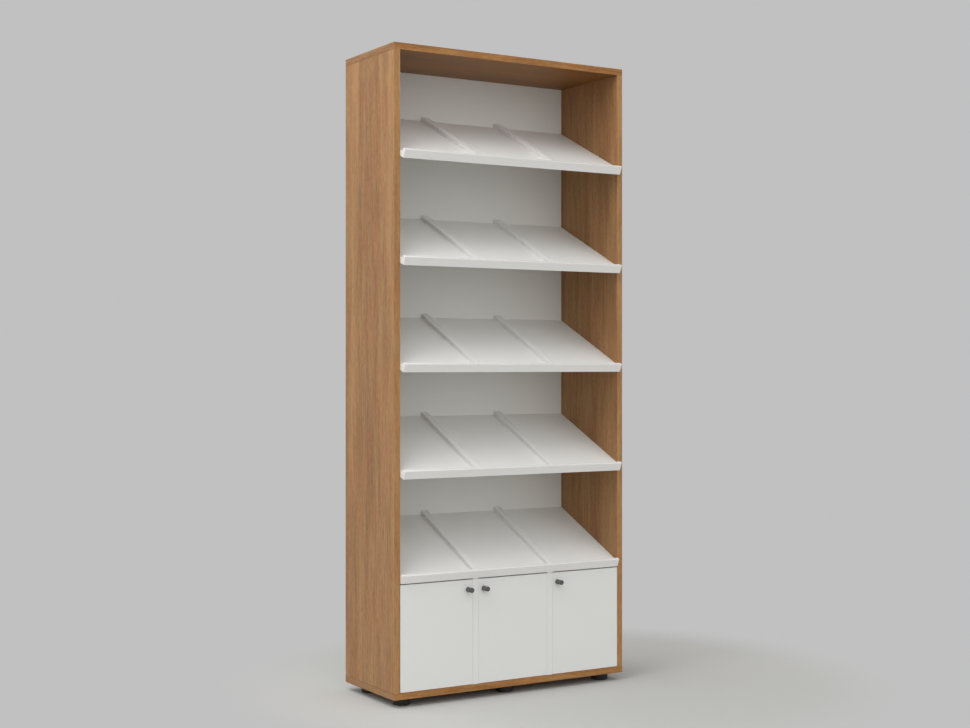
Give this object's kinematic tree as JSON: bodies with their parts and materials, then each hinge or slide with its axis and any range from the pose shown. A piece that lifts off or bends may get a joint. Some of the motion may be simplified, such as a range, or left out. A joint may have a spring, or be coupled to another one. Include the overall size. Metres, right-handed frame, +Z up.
{
  "type": "periodical display rack",
  "caption": "Tall free-standing rack with sloping display shelves, front lips and divider strips above a cupboard with hinged doors, on round feet.",
  "frame": {"origin": "on the floor, at the middle of the overall width and of the overall depth (lips included)", "axes": "+Z up along the height, +X to the right seen from the front, front facing -Y"},
  "size_m": [0.9, 0.3802, 2.132],
  "materials": {
    "wood_laminate": "matt walnut-look melamine laminate on board",
    "wood_edge_band": "matt walnut-look edge band",
    "white_melamine": "satin white melamine on board",
    "white_edge_band": "satin white edge band",
    "white_lacquer": "satin white lacquered moulding",
    "white_hardboard": "white faced hardboard",
    "beech": "plain beech",
    "black_plastic": "matt black moulded plastic",
    "dark_grey_knob": "satin dark grey",
    "nickel_steel": "nickel-plated pressed steel",
    "bright_steel": "zinc-plated steel"
  },
  "bodies": {
    "carcass": {"left_side_panel": "wood_laminate", "left_side_edge_band": "wood_edge_band", "right_side_panel": "wood_laminate", "right_side_edge_band": "wood_edge_band", "top_panel": "wood_laminate", "top_panel_edge_bands": "wood_edge_band", "bottom_panel": "wood_laminate", "bottom_panel_edge_bands": "wood_edge_band", "back_panel": "white_hardboard", "back_panel_nails": "bright_steel", "left_partition": "white_melamine", "right_partition": "white_melamine", "partition_edge_bands": "white_edge_band", "shelf_board_1": "white_melamine", "shelf_lip_1": "white_lacquer", "shelf_dividers_1": "white_lacquer", "shelf_board_2": "white_melamine", "shelf_lip_2": "white_lacquer", "shelf_dividers_2": "white_lacquer", "shelf_board_3": "white_melamine", "shelf_lip_3": "white_lacquer", "shelf_dividers_3": "white_lacquer", "shelf_board_4": "white_melamine", "shelf_lip_4": "white_lacquer", "shelf_dividers_4": "white_lacquer", "shelf_board_5": "white_melamine", "shelf_lip_5": "white_lacquer", "shelf_dividers_5": "white_lacquer", "wooden_dowels": "beech", "left_hinge_arms": "nickel_steel", "left_mounting_plates": "nickel_steel", "middle_hinge_arms": "nickel_steel", "middle_mounting_plates": "nickel_steel", "right_hinge_arms": "nickel_steel", "right_mounting_plates": "nickel_steel", "mounting_plate_screws": "bright_steel", "hinge_arm_screws": "bright_steel", "feet": "black_plastic", "foot_screws": "bright_steel"},
    "left_door_leaf": {"left_door": "white_melamine", "left_knob": "dark_grey_knob", "left_knob_screw": "bright_steel", "left_hinge_cups": "nickel_steel", "left_cup_screws": "bright_steel"},
    "left_hinge_link_pair": {"left_hinge_links": "nickel_steel", "left_link_pins": "bright_steel"},
    "middle_door_leaf": {"middle_door": "white_melamine", "middle_knob": "dark_grey_knob", "middle_knob_screw": "bright_steel", "middle_hinge_cups": "nickel_steel", "middle_cup_screws": "bright_steel"},
    "middle_hinge_link_pair": {"middle_hinge_links": "nickel_steel", "middle_link_pins": "bright_steel"},
    "right_door_leaf": {"right_door": "white_melamine", "right_knob": "dark_grey_knob", "right_knob_screw": "bright_steel", "right_hinge_cups": "nickel_steel", "right_cup_screws": "bright_steel"},
    "right_hinge_link_pair": {"right_hinge_links": "nickel_steel", "right_link_pins": "bright_steel"}
  },
  "joints": [
    {"name": "left_door_swing", "type": "hinge", "parent": "carcass", "child": "left_door_leaf", "pos_m": [-0.412, -0.15709, 0.22237], "axis": [0, 0, -1], "range_deg": [0, 95]},
    {"name": "left_hinge_link_turn", "type": "hinge", "parent": "carcass", "child": "left_hinge_link_pair", "pos_m": [-0.3894, -0.13169, 0.22237], "axis": [0, 0, 1], "range_deg": [0, 33.6]},
    {"name": "middle_door_swing", "type": "hinge", "parent": "carcass", "child": "middle_door_leaf", "pos_m": [0.11933, -0.15709, 0.22237], "axis": [0, 0, 1], "range_deg": [0, 95]},
    {"name": "middle_hinge_link_turn", "type": "hinge", "parent": "carcass", "child": "middle_hinge_link_pair", "pos_m": [0.09673, -0.13169, 0.22237], "axis": [0, 0, -1], "range_deg": [0, 33.6]},
    {"name": "right_door_swing", "type": "hinge", "parent": "carcass", "child": "right_door_leaf", "pos_m": [0.412, -0.15709, 0.22237], "axis": [0, 0, 1], "range_deg": [0, 95]},
    {"name": "right_hinge_link_turn", "type": "hinge", "parent": "carcass", "child": "right_hinge_link_pair", "pos_m": [0.3894, -0.13169, 0.22237], "axis": [0, 0, -1], "range_deg": [0, 33.6]}
  ],
  "couplings": [
    {"joint": "left_hinge_link_turn", "follows": "left_door_swing", "ratio": 0.35},
    {"joint": "middle_hinge_link_turn", "follows": "middle_door_swing", "ratio": 0.35},
    {"joint": "right_hinge_link_turn", "follows": "right_door_swing", "ratio": 0.35}
  ]
}
